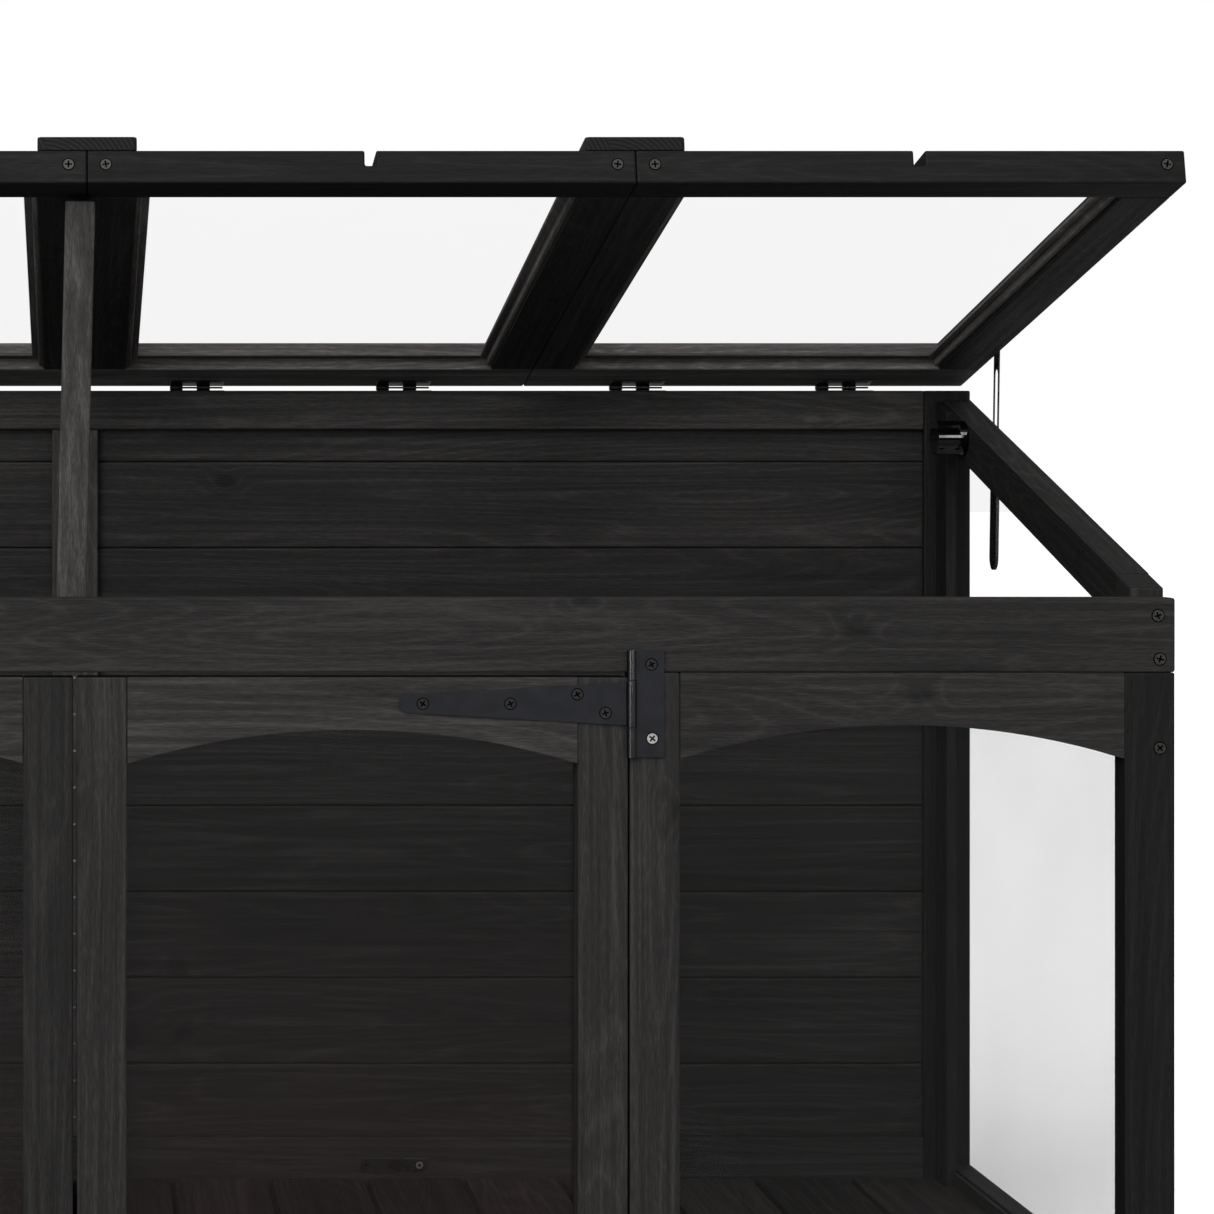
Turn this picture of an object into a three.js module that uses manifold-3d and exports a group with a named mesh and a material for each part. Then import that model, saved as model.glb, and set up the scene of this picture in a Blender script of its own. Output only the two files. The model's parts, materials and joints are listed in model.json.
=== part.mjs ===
// A wooden cold frame: a low timber house with a boarded back, clear panes in the front, the sides
// and the roof, two front doors on T-hinges, and a roof of four joined sashes that lifts at the front.
// Millimetres, +Z up, +X to the right of someone facing the doors, +Y towards the back.
// The model stands on Z = 0 with the middle of its footprint on the Z axis.

import * as THREE from "three";
import { mergeVertices } from "three/addons/utils/BufferGeometryUtils.js";
import Module from "manifold-3d";

const wasm = await Module();
wasm.setup();

// ---------------------------------------------------------------- driving dimensions

// The house
const width = 1760; // over the side frames
const depth = 622; // from the front face to the back face
const floorTop = 100; // top of the floor slats above the ground
const beamBottom = 634;
const beamHeight = 59.5;
const backTop = 874; // top of the back wall
const timber = 27; // thickness of every frame timber
const jointGap = 0.3; // between timbers that meet

// Front and doors
const stileWidth = 40;
const bottomRailHeight = 60;
const doorTop = 630;
const doorGap = 1.6; // around a door, and half of the gap between the two
const doorSillGap = 2;
const panelInner = 444; // inner edge of a fixed front panel, from the middle
const archCrown = 42; // height of an arched rail at its middle
const archEnd = 69; // and at its ends
const paneThickness = 3;
const paneFromFront = 19; // from a timber's show face to the pane
const grooveDepth = 8; // how far a pane reaches into a timber
const paneGap = 0.3; // around a pane in its groove

// Sides
const sideStileWidth = 36;
const slopeRailHeight = 40; // measured upright
const slopeRiseFront = 7; // sloping rail's top over the beam's top, at the front
const slopeDropBack = 9; // sloping rail's top below the back wall's top, at the back
const sideRailTop = 113;
const sidePaneInset = 4.3; // from the inner face of the side frame to its pane

// Back wall
const backPostWidth = 45;
const backTopRailHeight = 38;
const backBottomRailTop = 140;
const backBottomRailHeight = 80;
const boardRecess = 10; // from the posts' face to the boards' face
const boardThickness = 12;
const boardPitch = 84.8;
const boardJointDrop = 32; // from the top rail's lower edge to the first board joint
const grooveWidth = 5; // V-groove at each board joint
const grooveCut = 2.5;
const battenWidth = 45;
const cornerBattenWidth = 37; // along the side
const cornerBattenInset = 6.6; // how far it stands inside the side frame's inner face

// Floor
const slatCount = 18;
const slatGap = 6;
const slatThickness = 20;
const bearerWidth = 45;
const bearerHeight = 22;
const bearerCount = 3;

// Roof
const openAngle = THREE.MathUtils.degToRad(12.4); // slope up to the front when it is open
const sashGap = 0.5;
const sashRail = 40; // width of the side and front rails
const sashBackRail = 68;
const sashThickness = 27;
const roofEndInset = 1.2; // roof end inside the house's side
const middleJointShift = 9.6; // roof's middle joint to the right of the doors' gap
const roofOverhang = 20; // past the front face when the roof is shut
const roofBehindHinge = 7;
const hingeFromBack = 7; // hinge axis inside the back face
const hingeToUnderside = 3;
const restGap = 0.5; // under the shut roof
const ledgeWidth = 11; // the ledge that a roof pane lies on
const ledgeBottom = 11; // its height over the underside
const ledgeTop = 14.2;
const drainWidth = 9;
const drainDepth = 12.5;
const drainShift = 7; // to the right of its sash's middle
const capWidth = 79;
const capThickness = 11.5;
const capInset = 1; // from the roof's front and back edges

// T-hinges
const barrelRadius = 3.7;
const pinRadius = 2;
const hingeClearance = 0.3;
const plateThickness = 2;
const barrelLength = 85.6;
const strapKnuckle = 37.6;
const leafNear = 4.5; // from the barrel's axis to the leaf's near edge
const leafFar = 26.5;
const strapReach = 186; // from the barrel's axis to the strap's tip
const strapBase = 35;
const strapTip = 14.4;
const hingeFromDoorEnd = 21; // strap's middle from the door's top or bottom

// Prop
const propWidth = 24;
const propDepth = 18;
const propFootDrop = 53; // foot below the beam's top
const propLean = THREE.MathUtils.degToRad(6.6); // top towards the front
const propTilt = THREE.MathUtils.degToRad(1.3); // top towards the right
const propGap = 0.6;
const propHeadGap = 1.4; // under the roof

// Stays
const stayRadius = 111; // from the roof hinge to both ends of the stay's upper stretch
const stayPinHeight = 13.5; // over the roof's underside
const clampDrop = 15.4; // clamp bolt below the sloping rail's top
const stayOffset = 2.2; // blade clear of the side frame
const bladeThickness = 1.2;
const bladeWidth = 17;
const bladeSlot = 11.5;
const slotStart = 24.5; // from the pivot
const bladeTail = 8; // past the slot's end
const sheathWall = 0.6;
const sheathGap = 0.3; // around the blade
const sheathEdge = 1.7; // wall at the blade's edges, with its clearance
const sheathTail = 127; // from the bolt to the tip
const sheathTipLength = 13;
const boltRadius = 3;
const boltClearance = 0.3;
const boltHeadRadius = 7;
const boltHeadHeight = 3;
const knobRadius = 18;
const knobLobes = 6;
const knobHead = 21;
const knobBase = 7;
const knobBaseRadius = 17;
const knobGap = 1.2; // between the knob and the side frame
const boltReach = 16; // into the knob

// ---------------------------------------------------------------- worked-out sizes

const halfWidth = width / 2;
const sideInner = halfWidth - timber;
const beamTop = beamBottom + beamHeight;
const backFace = depth - timber;
const railBottom = floorTop - bottomRailHeight;
const sidePaneX = sideInner + sidePaneInset;
const backPostInner = halfWidth - backPostWidth;
const sideStileBack = timber + jointGap + sideStileWidth;
const slopeFront = beamTop + slopeRiseFront;
const slopeRate = (backTop - slopeDropBack - slopeFront) / (backFace - timber);

// Height of the sloping rail's top at a depth y.
const slopeTop = (y) => slopeFront + slopeRate * (y - timber);

// The shut roof lies on the beam's front edge and on the back wall's front edge.
const shutAngle = Math.atan2(backTop - beamTop, backFace);
const hingeY = depth - hingeFromBack;
const hingeZ =
  backTop +
  (hingeY - backFace) * Math.tan(shutAngle) +
  (restGap - hingeToUnderside) / Math.cos(shutAngle);
const roofReach =
  (hingeY + roofOverhang - hingeToUnderside * Math.sin(shutAngle)) / Math.cos(shutAngle);
const roofEnd = halfWidth - roofEndInset;

// The middles of the joints between the sashes, from left to right, with the roof's two ends.
const roofJoints = [
  -roofEnd - sashGap / 2,
  (middleJointShift - roofEnd) / 2,
  middleJointShift,
  (middleJointShift + roofEnd) / 2,
  roofEnd + sashGap / 2,
];

// ---------------------------------------------------------------- materials

const stainedWood = () =>
  new THREE.MeshStandardMaterial({ color: 0x2b2928, roughness: 0.72, metalness: 0 });
const floorWood = () =>
  new THREE.MeshStandardMaterial({ color: 0x2e2a28, roughness: 0.8, metalness: 0 });
const propWood = () =>
  new THREE.MeshStandardMaterial({ color: 0x4a4744, roughness: 0.75, metalness: 0 });
const clearPane = () =>
  new THREE.MeshStandardMaterial({
    color: 0xeef0f1,
    roughness: 0.08,
    metalness: 0,
    transparent: true,
    opacity: 0.25,
  });
const blackSteel = () =>
  new THREE.MeshStandardMaterial({ color: 0x141414, roughness: 0.42, metalness: 0.85 });
const zincSteel = () =>
  new THREE.MeshStandardMaterial({ color: 0x3b3c3e, roughness: 0.3, metalness: 0.95 });
const blackPlastic = () =>
  new THREE.MeshStandardMaterial({ color: 0x0b0b0c, roughness: 0.22, metalness: 0 });

// ---------------------------------------------------------------- solids

// A closed geometry as a solid that others can join or cut.
function solid(geometry) {
  const bare = new THREE.BufferGeometry();
  bare.setAttribute("position", geometry.getAttribute("position"));
  bare.setIndex(geometry.index);
  const welded = mergeVertices(bare, 1e-4);
  return new wasm.Manifold(
    new wasm.Mesh({
      numProp: 3,
      vertProperties: new Float32Array(welded.attributes.position.array),
      triVerts: new Uint32Array(welded.index.array),
    }),
  );
}

// A solid back as a flat-shaded geometry.
function geometryOf(body) {
  const mesh = body.getMesh();
  const geometry = new THREE.BufferGeometry();
  geometry.setAttribute("position", new THREE.BufferAttribute(mesh.vertProperties, 3));
  geometry.setIndex(new THREE.BufferAttribute(mesh.triVerts, 1));
  const flat = geometry.toNonIndexed();
  flat.computeVertexNormals();
  return flat;
}

// A rectangular block between two corners; the limits of an axis may come in either order.
function block([x0, x1], [y0, y1], [z0, z1]) {
  const box = new THREE.BoxGeometry(Math.abs(x1 - x0), Math.abs(y1 - y0), Math.abs(z1 - z0));
  return solid(box.translate((x0 + x1) / 2, (y0 + y1) / 2, (z0 + z1) / 2));
}

// An outline drawn in the two axes named, given thickness along the third.
const PLANES = {
  yz: [new THREE.Vector3(0, 1, 0), new THREE.Vector3(0, 0, 1), new THREE.Vector3(1, 0, 0)],
  xz: [new THREE.Vector3(1, 0, 0), new THREE.Vector3(0, 0, 1), new THREE.Vector3(0, -1, 0)],
};
function slab(plane, outline, from, to, curveSegments = 12, lift = 0) {
  const low = Math.min(from, to);
  const high = Math.max(from, to);
  const geometry = new THREE.ExtrudeGeometry(outline, {
    depth: high - low,
    bevelEnabled: false,
    curveSegments,
  });
  geometry.applyMatrix4(new THREE.Matrix4().makeBasis(...PLANES[plane]));
  geometry.translate(...(plane === "yz" ? [low, 0, lift] : [0, high, lift]));
  return solid(geometry);
}

// A round bar along X or Z.
function bar(axis, radius, from, to, [u, v], segments = 24) {
  const low = Math.min(from, to);
  const high = Math.max(from, to);
  const geometry = new THREE.CylinderGeometry(radius, radius, high - low, segments);
  if (axis === "x") {
    geometry.rotateZ(-Math.PI / 2).translate((low + high) / 2, u, v);
  } else {
    geometry.rotateX(Math.PI / 2).translate(u, v, (low + high) / 2);
  }
  return solid(geometry);
}

// A polygon from its corners.
function polygon(points) {
  return new THREE.Shape(points.map(([u, v]) => new THREE.Vector2(u, v)));
}

// The model: every piece is one named mesh in it.
const model = new THREE.Group();
function piece(name, body, material, parent = model) {
  const mesh = new THREE.Mesh(geometryOf(body), material);
  mesh.name = name;
  parent.add(mesh);
  return mesh;
}

const SIDES = [
  { name: "left", sign: -1 },
  { name: "right", sign: 1 },
];

// ---------------------------------------------------------------- front

// An arched rail between two stiles: straight on top, a shallow arc below.
function archRail([x0, x1], top) {
  const low = Math.min(x0, x1);
  const high = Math.max(x0, x1);
  const half = (high - low) / 2;
  const rise = archEnd - archCrown;
  const radius = (half * half + rise * rise) / (2 * rise);
  const middle = (low + high) / 2;
  const spread = Math.asin(half / radius);
  const centre = top - archCrown - radius;
  const outline = new THREE.Shape();
  outline.moveTo(low, top);
  outline.lineTo(low, top - archEnd);
  outline.absarc(middle, centre, radius, Math.PI / 2 + spread, Math.PI / 2 - spread, true);
  outline.lineTo(high, top);
  outline.closePath();
  return slab("xz", outline, 0, timber, 16);
}

// The pane of a front panel or door, and the groove that it needs in the timbers.
const paneBack = paneFromFront + paneThickness;
function frontPane([x0, x1], [z0, z1]) {
  const low = Math.min(x0, x1) - grooveDepth;
  const high = Math.max(x0, x1) + grooveDepth;
  const pane = block([low, high], [paneFromFront, paneBack], [z0 - grooveDepth, z1 + grooveDepth]);
  const groove = block(
    [low - paneGap, high + paneGap],
    [paneFromFront - paneGap, paneBack + paneGap],
    [z0 - grooveDepth - paneGap, z1 + grooveDepth + paneGap],
  );
  return { pane, groove };
}

piece(
  "front_beam",
  block([-halfWidth, halfWidth], [0, timber], [beamBottom, beamTop]),
  stainedWood(),
);

const postInner = halfWidth - stileWidth;
const panelOuter = panelInner + stileWidth;
const panelTop = beamBottom - jointGap;
const frontRail = block(
  [-postInner + jointGap, postInner - jointGap],
  [0, timber],
  [railBottom, floorTop],
);
const frontGrooves = [];

for (const { name, sign } of SIDES) {
  const lit = [sign * panelOuter, sign * postInner];
  const { pane, groove } = frontPane(lit, [floorTop, panelTop - archCrown]);
  const post = block([sign * postInner, sign * halfWidth], [0, timber], [0, panelTop]);
  const stile = block(
    [sign * panelInner, sign * panelOuter],
    [0, timber],
    [floorTop + jointGap, panelTop],
  );
  const rail = archRail(
    [sign * (panelOuter + jointGap), sign * (postInner - jointGap)],
    panelTop,
  );
  piece(`${name}_front_post`, post.subtract(groove), stainedWood());
  piece(`${name}_panel_stile`, stile.subtract(groove), stainedWood());
  piece(`${name}_panel_arch_rail`, rail.subtract(groove), stainedWood());
  piece(`${name}_panel_pane`, pane, clearPane());
  frontGrooves.push(groove);
}
piece(
  "front_bottom_rail",
  frontGrooves.reduce((rail, groove) => rail.subtract(groove), frontRail),
  stainedWood(),
);

// ---------------------------------------------------------------- doors

const doorBottom = floorTop + doorSillGap;
const hingeX = panelInner + barrelRadius + hingeClearance - leafNear + 1;
const doorOuter = panelInner - doorGap;
const barrelY = -(barrelRadius + hingeClearance);

for (const { name, sign } of SIDES) {
  const meeting = [sign * doorGap, sign * (doorGap + stileWidth)];
  const hinging = [sign * (doorOuter - stileWidth), sign * doorOuter];
  const between = [
    sign * (doorGap + stileWidth + jointGap),
    sign * (doorOuter - stileWidth - jointGap),
  ];
  const lit = [sign * (doorGap + stileWidth), sign * (doorOuter - stileWidth)];
  const railTop = doorBottom + bottomRailHeight;
  const { pane, groove } = frontPane(lit, [railTop, doorTop - archCrown]);
  const height = [doorBottom, doorTop];
  const rail = block(between, [0, timber], [doorBottom, railTop]);
  piece(
    `${name}_door_meeting_stile`,
    block(meeting, [0, timber], height).subtract(groove),
    stainedWood(),
  );
  piece(
    `${name}_door_hinge_stile`,
    block(hinging, [0, timber], height).subtract(groove),
    stainedWood(),
  );
  piece(`${name}_door_arch_rail`, archRail(between, doorTop).subtract(groove), stainedWood());
  piece(`${name}_door_bottom_rail`, rail.subtract(groove), stainedWood());
  piece(`${name}_door_pane`, pane, clearPane());
}

// ---------------------------------------------------------------- T-hinges

const plateBack = -hingeClearance;
const plateFront = plateBack - plateThickness;

// The leaf on the fixed panel, with two knuckles and the pin.
function hingeLeaf(sign, middle) {
  const low = middle - barrelLength / 2;
  const high = middle + barrelLength / 2;
  const plate = block(
    [sign * (hingeX + leafNear), sign * (hingeX + leafFar)],
    [plateFront, plateBack],
    [low, high],
  );
  const gap = strapKnuckle / 2 + hingeClearance;
  const at = [sign * hingeX, barrelY];
  const tab = (z0, z1) =>
    block([sign * hingeX, sign * (hingeX + leafNear + 1)], [plateFront, plateBack], [z0, z1]);
  return bar("z", pinRadius, low, high, at)
    .add(bar("z", barrelRadius, low, middle - gap, at))
    .add(bar("z", barrelRadius, middle + gap, high, at))
    .add(tab(low, middle - gap))
    .add(tab(middle + gap, high))
    .add(plate);
}

// The long tapered strap on the door, with its middle knuckle bored for the pin.
function hingeStrap(sign, middle) {
  const low = middle - strapKnuckle / 2;
  const high = middle + strapKnuckle / 2;
  const tipCentre = sign * (hingeX - strapReach + strapTip / 2);
  const outline = new THREE.Shape();
  outline.moveTo(sign * hingeX, -strapBase / 2);
  outline.lineTo(sign * hingeX, strapBase / 2);
  outline.lineTo(tipCentre, strapTip / 2);
  outline.absarc(tipCentre, 0, strapTip / 2, Math.PI / 2, -Math.PI / 2, sign < 0);
  outline.closePath();
  const at = [sign * hingeX, barrelY];
  return slab("xz", outline, plateFront, plateBack, 10, middle)
    .add(bar("z", barrelRadius, low, high, at))
    .subtract(bar("z", pinRadius + hingeClearance, low - 1, high + 1, at));
}

const hingeHeights = [
  ["upper", doorTop - hingeFromDoorEnd],
  ["lower", doorBottom + hingeFromDoorEnd],
];
for (const { name, sign } of SIDES) {
  for (const [level, middle] of hingeHeights) {
    piece(`${name}_${level}_hinge_leaf`, hingeLeaf(sign, middle), blackSteel());
    piece(`${name}_${level}_hinge_strap`, hingeStrap(sign, middle), blackSteel());
  }
}

// ---------------------------------------------------------------- back wall

const boardFace = backFace + boardRecess;
const boardBack = boardFace + boardThickness;
const boardTop = backTop - backTopRailHeight + grooveDepth;
const boardBottom = backBottomRailTop - grooveDepth;

// The boards' section: flat at the back, a V-groove at each joint in front.
function boardSection() {
  const points = [
    [boardBack, boardBottom],
    [boardBack, boardTop],
    [boardFace, boardTop],
  ];
  const first = backTop - backTopRailHeight - boardJointDrop;
  const last = backBottomRailTop + grooveWidth;
  for (let z = first; z > last; z -= boardPitch) {
    points.push([boardFace, z + grooveWidth / 2]);
    points.push([boardFace + grooveCut, z]);
    points.push([boardFace, z - grooveWidth / 2]);
  }
  points.push([boardFace, boardBottom]);
  return polygon(points);
}

const boardEnd = backPostInner + grooveDepth;
const boards = slab("yz", boardSection(), -boardEnd, boardEnd).add(
  block(
    [-battenWidth / 2, battenWidth / 2],
    [backFace, boardFace + grooveCut + 1],
    [backBottomRailTop + jointGap, backTop - backTopRailHeight - jointGap],
  ),
);
const boardSlot = block(
  [-boardEnd - paneGap, boardEnd + paneGap],
  [boardFace - paneGap, boardBack + paneGap],
  [boardBottom - paneGap, boardTop + paneGap],
);
const betweenPosts = [-backPostInner + jointGap, backPostInner - jointGap];
const backRails = [
  ["back_top_rail", [backTop - backTopRailHeight, backTop]],
  ["back_bottom_rail", [backBottomRailTop - backBottomRailHeight, backBottomRailTop]],
];
piece("back_boards", boards, stainedWood());
for (const [name, height] of backRails) {
  const rail = block(betweenPosts, [backFace, depth], height);
  piece(name, rail.subtract(boardSlot), stainedWood());
}

// ---------------------------------------------------------------- sides

const sideEnd = backFace - jointGap;
const battenFront = backFace - cornerBattenWidth;
const paneOuterX = sidePaneX + paneThickness;

// The batten in the back corner, which the side pane lies against, less what the slope cuts off.
function cornerBatten(sign, grow = 0) {
  const top = (y) => slopeTop(y) - 2 + grow;
  const outline = polygon([
    [battenFront - grow, sideRailTop - bottomRailHeight + 10 - grow],
    [backFace + 1, sideRailTop - bottomRailHeight + 10 - grow],
    [backFace + 1, top(backFace)],
    [battenFront - grow, top(battenFront)],
  ]);
  const inner = sideInner - cornerBattenInset - grow;
  return slab("yz", outline, sign * inner, sign * (sidePaneX - jointGap + grow));
}

// The side pane's outline between the rails, from the front stile to the back post.
function sidePaneOutline(grow = 0) {
  const front = sideStileBack - grooveDepth - grow;
  const back = sideEnd - 1 + grow;
  const lift = grooveDepth - slopeRailHeight + grow;
  return polygon([
    [front, sideRailTop - grooveDepth - grow],
    [back, sideRailTop - grooveDepth - grow],
    [back, slopeTop(back) + lift],
    [front, slopeTop(front) + lift],
  ]);
}

const clamp = clampPoint();

// The clamp bolt: on the sloping rail, at the stay radius from the roof hinge.
function clampPoint() {
  const level = slopeTop(hingeY) - clampDrop;
  const slope = Math.atan(slopeRate);
  const below = slope + Math.asin(((hingeZ - level) * Math.cos(slope)) / stayRadius);
  return {
    y: hingeY - stayRadius * Math.cos(below),
    z: hingeZ - stayRadius * Math.sin(below),
  };
}

for (const { name, sign } of SIDES) {
  const across = [sign * sideInner, sign * halfWidth];
  const pane = slab("yz", sidePaneOutline(), sign * sidePaneX, sign * paneOuterX);
  const groove = slab(
    "yz",
    sidePaneOutline(paneGap),
    sign * (sidePaneX - paneGap),
    sign * (paneOuterX + paneGap),
  );
  const battenSeat = cornerBatten(sign, jointGap);
  const stileFront = timber + jointGap;
  const stile = slab(
    "yz",
    polygon([
      [stileFront, 0],
      [sideStileBack, 0],
      [sideStileBack, slopeTop(sideStileBack)],
      [stileFront, slopeTop(stileFront)],
    ]),
    ...across,
  );
  const railFront = sideStileBack + jointGap;
  const slopeRail = slab(
    "yz",
    polygon([
      [railFront, slopeTop(railFront) - slopeRailHeight],
      [sideEnd, slopeTop(sideEnd) - slopeRailHeight],
      [sideEnd, slopeTop(sideEnd)],
      [railFront, slopeTop(railFront)],
    ]),
    ...across,
  );
  const bottomRail = block(
    across,
    [railFront, sideEnd],
    [sideRailTop - bottomRailHeight, sideRailTop],
  );
  const boltHole = bar(
    "x",
    boltRadius + boltClearance,
    sign * (sideInner - 1),
    sign * (halfWidth + 1),
    [clamp.y, clamp.z],
  );
  const post = block([sign * backPostInner, sign * halfWidth], [backFace, depth], [0, backTop]);
  piece(`${name}_side_stile`, stile.subtract(groove), stainedWood());
  piece(
    `${name}_slope_rail`,
    slopeRail.subtract(groove).subtract(battenSeat).subtract(boltHole),
    stainedWood(),
  );
  piece(
    `${name}_side_bottom_rail`,
    bottomRail.subtract(groove).subtract(battenSeat),
    stainedWood(),
  );
  piece(`${name}_side_pane`, pane, clearPane());
  piece(
    `${name}_back_post`,
    post.add(cornerBatten(sign)).subtract(boardSlot),
    stainedWood(),
  );
}

// ---------------------------------------------------------------- floor

const slatPitch = (2 * (sideInner - jointGap) + slatGap) / slatCount;
const slatFront = timber + jointGap;
const slatBack = backFace - jointGap;
const cornerCut = SIDES.map(({ sign }) =>
  block(
    [sign * (sideInner - cornerBattenInset - 2), sign * sideInner],
    [battenFront - 2, backFace],
    [0, backTop],
  ),
);
let deck = null;
for (let i = 0; i < slatCount; i += 1) {
  const start = -(sideInner - jointGap) + i * slatPitch;
  const slat = block(
    [start, start + slatPitch - slatGap],
    [slatFront, slatBack],
    [floorTop - slatThickness, floorTop],
  );
  deck = deck ? deck.add(slat) : slat;
}
for (let i = 0; i < bearerCount; i += 1) {
  const middle = slatFront + ((slatBack - slatFront) * (i + 0.5)) / bearerCount;
  const top = floorTop - slatThickness;
  const bearer = block(
    [-(sideInner - jointGap), sideInner - jointGap],
    [middle - bearerWidth / 2, middle + bearerWidth / 2],
    [top - bearerHeight, top + 1],
  );
  deck = deck.add(bearer);
}
piece("floor_deck", deck.subtract(cornerCut[0]).subtract(cornerCut[1]), floorWood());

// ---------------------------------------------------------------- roof

// The roof's own frame: origin on the hinge axis, -Y along the roof to its front edge, +Z off its top.
const roof = new THREE.Group();
roof.position.set(0, hingeY, hingeZ);
roof.rotation.x = -openAngle;
model.add(roof);

const underside = hingeToUnderside;
const roofTop = underside + sashThickness;
const frontEdge = -roofReach;
const backEdge = roofBehindHinge;

// One sash: a front rail, a wider back rail and two side rails round a ledge for the pane.
function sashFrame(x0, x1) {
  const hole = (inset, z0, z1) =>
    block(
      [x0 + sashRail + inset, x1 - sashRail - inset],
      [frontEdge + sashRail + inset, backEdge - sashBackRail - inset],
      [z0, z1],
    );
  const middle = (x0 + x1) / 2 + drainShift;
  const drain = block(
    [middle - drainWidth / 2, middle + drainWidth / 2],
    [frontEdge - 1, frontEdge + sashRail + 1],
    [roofTop - drainDepth, roofTop + 1],
  );
  return block([x0, x1], [frontEdge, backEdge], [underside, roofTop])
    .subtract(hole(0, underside - 1, underside + ledgeBottom))
    .subtract(hole(ledgeWidth, underside, underside + ledgeTop + 1))
    .subtract(hole(0, underside + ledgeTop, roofTop + 1))
    .subtract(drain);
}

const paneLow = underside + ledgeTop + paneGap;
for (let i = 1; i < roofJoints.length; i += 1) {
  const x0 = roofJoints[i - 1] + sashGap / 2;
  const x1 = roofJoints[i] - sashGap / 2;
  piece(`roof_sash_${i}`, sashFrame(x0, x1), stainedWood(), roof);
  piece(
    `roof_pane_${i}`,
    block(
      [x0 + sashRail + paneGap, x1 - sashRail - paneGap],
      [frontEdge + sashRail + paneGap, backEdge - sashBackRail - paneGap],
      [paneLow, paneLow + paneThickness],
    ),
    clearPane(),
    roof,
  );
}

const capNames = ["roof_cap_left", "roof_cap_centre", "roof_cap_right"];
capNames.forEach((name, i) => {
  const middle = roofJoints[i + 1];
  const cap = block(
    [middle - capWidth / 2, middle + capWidth / 2],
    [frontEdge + capInset, backEdge - capInset],
    [roofTop + jointGap, roofTop + jointGap + capThickness],
  );
  piece(name, cap, stainedWood(), roof);
});

// ---------------------------------------------------------------- prop

// The stick stands behind the beam, leans to the front, and ends just under the open roof.
const propFootZ = beamTop - propFootDrop;
const propFootY =
  timber +
  propGap +
  propDepth / 2 / Math.cos(propLean) +
  propFootDrop * Math.tan(propLean);
const upSlope = Math.sin(openAngle) * (propFootY - hingeY);
const footToRoof = hingeToUnderside - upSlope - Math.cos(openAngle) * (propFootZ - hingeZ);
const headCorner = (propDepth / 2) * Math.sin(openAngle + propLean);
const propLength = (footToRoof - headCorner - propHeadGap) / Math.cos(openAngle + propLean);

const prop = new THREE.Group();
prop.position.set((-propLength / 2) * Math.sin(propTilt), propFootY, propFootZ);
prop.rotation.set(propLean, propTilt, 0);
model.add(prop);
piece(
  "prop_stick",
  block([-propWidth / 2, propWidth / 2], [-propDepth / 2, propDepth / 2], [0, propLength]),
  propWood(),
  prop,
);

// ---------------------------------------------------------------- stays

// The pin on the roof's side, at the same distance from the hinge as the clamp bolt.
const pinAbove = hingeToUnderside + stayPinHeight;
const pinAngle = openAngle + Math.asin(pinAbove / stayRadius);
const pin = {
  y: hingeY - stayRadius * Math.cos(pinAngle),
  z: hingeZ + stayRadius * Math.sin(pinAngle),
};
const stayLength = Math.hypot(clamp.y - pin.y, clamp.z - pin.z);
const stayLean = Math.asin((clamp.y - pin.y) / stayLength);

const bladeX = halfWidth + stayOffset;
const bladeOuterX = bladeX + bladeThickness;
const sheathInnerX = bladeX - sheathGap - sheathWall;
const sheathOuterX = bladeOuterX + sheathGap + sheathWall;
const slotEnd = stayLength + boltRadius + boltClearance;
const bladeEnd = slotEnd + bladeTail;

// A long plate that hangs down from its origin, round at both ends.
function hangingPlate(widthOver, above, below, tip) {
  const half = widthOver / 2;
  const outline = new THREE.Shape();
  outline.moveTo(-half, above);
  outline.lineTo(-half, -(below - tip));
  outline.absellipse(0, -(below - tip), half, tip, Math.PI, 2 * Math.PI, false);
  outline.lineTo(half, above);
  outline.absarc(0, above, half, 0, Math.PI, false);
  outline.closePath();
  return outline;
}

// The blade: pinned to the roof, slotted for the clamp bolt.
function stayBlade(sign) {
  const across = [sign * bladeX, sign * bladeOuterX];
  const slotRound = bladeSlot / 2;
  const slot = hangingPlate(bladeSlot, -(slotStart + slotRound), slotEnd, slotRound);
  const outline = hangingPlate(bladeWidth, 0, bladeEnd, bladeWidth / 2);
  const boss = bar("x", 5, sign * (roofEnd + jointGap), sign * (bladeOuterX + 1.6), [0, 0]);
  return slab("yz", outline, ...across, 8)
    .subtract(slab("yz", slot, sign * (bladeX - 1), sign * (bladeOuterX + 1), 8))
    .add(boss);
}

// The sheath: swivels on the clamp bolt, takes the blade's lower end.
function staySheath(sign) {
  const outerWidth = bladeWidth + 2 * (sheathGap + sheathEdge);
  const innerWidth = bladeWidth + 2 * sheathGap;
  const top = outerWidth / 2;
  const outline = hangingPlate(outerWidth, 0, sheathTail, sheathTipLength);
  const mouth = block(
    [sign * (bladeX - sheathGap), sign * (bladeOuterX + sheathGap)],
    [-innerWidth / 2, innerWidth / 2],
    [-(sheathTail - sheathTipLength), top + 1],
  );
  const bolt = bar(
    "x",
    boltRadius,
    sign * (sideInner - knobGap - boltReach),
    sign * (sheathOuterX + 0.5),
    [0, 0],
  );
  const head = bar(
    "x",
    boltHeadRadius,
    sign * sheathOuterX,
    sign * (sheathOuterX + boltHeadHeight),
    [0, 0],
  );
  return slab("yz", outline, sign * sheathInnerX, sign * sheathOuterX, 8)
    .subtract(mouth)
    .add(bolt)
    .add(head);
}

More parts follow.
